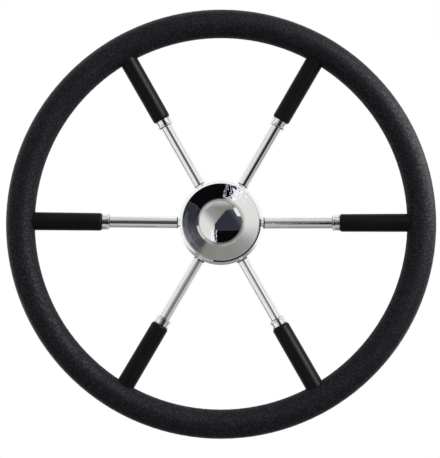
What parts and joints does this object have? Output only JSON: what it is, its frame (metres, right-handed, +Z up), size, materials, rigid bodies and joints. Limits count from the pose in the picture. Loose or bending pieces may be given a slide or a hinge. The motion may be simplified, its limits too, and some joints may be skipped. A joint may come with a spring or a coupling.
{
  "type": "boat steering wheel",
  "caption": "Round steering wheel with a soft moulded rim, raked polished rod spokes ending in moulded sleeves, and a domed hub cap over a keyed taper bore.",
  "frame": {"origin": "centre of the hub's rear face, where the helm shaft's taper enters", "axes": "+Y along the wheel's turning axis, away from the helmsman and towards the helm; +Z up, with two spokes level along X"},
  "size_m": [0.35, 0.0521, 0.35],
  "materials": {
    "grip_skin": "satin moulded polyurethane with a fine ribbed leather grain",
    "sleeve_skin": "smooth satin moulded polyurethane",
    "rod_steel": "mirror-polished stainless steel",
    "collar_steel": "polished turned stainless steel",
    "hub_steel": "polished turned stainless steel",
    "cap_steel": "mirror-polished turned stainless steel",
    "ring_steel": "plain tube, hidden inside the grip",
    "seal_rubber": "plain rubber ring, hidden under the cap"
  },
  "bodies": {
    "root": {"rim_tube": "ring_steel", "rim_grip": "grip_skin", "hub_body": "hub_steel", "hub_cap": "cap_steel", "cap_seal": "seal_rubber", "spoke_rod_1": "rod_steel", "spoke_rod_2": "rod_steel", "spoke_rod_3": "rod_steel", "spoke_rod_4": "rod_steel", "spoke_rod_5": "rod_steel", "spoke_rod_6": "rod_steel", "spoke_collar_1": "collar_steel", "spoke_collar_2": "collar_steel", "spoke_collar_3": "collar_steel", "spoke_collar_4": "collar_steel", "spoke_collar_5": "collar_steel", "spoke_collar_6": "collar_steel", "spoke_sleeve_1": "sleeve_skin", "spoke_sleeve_2": "sleeve_skin", "spoke_sleeve_3": "sleeve_skin", "spoke_sleeve_4": "sleeve_skin", "spoke_sleeve_5": "sleeve_skin", "spoke_sleeve_6": "sleeve_skin"}
  },
  "joints": []
}
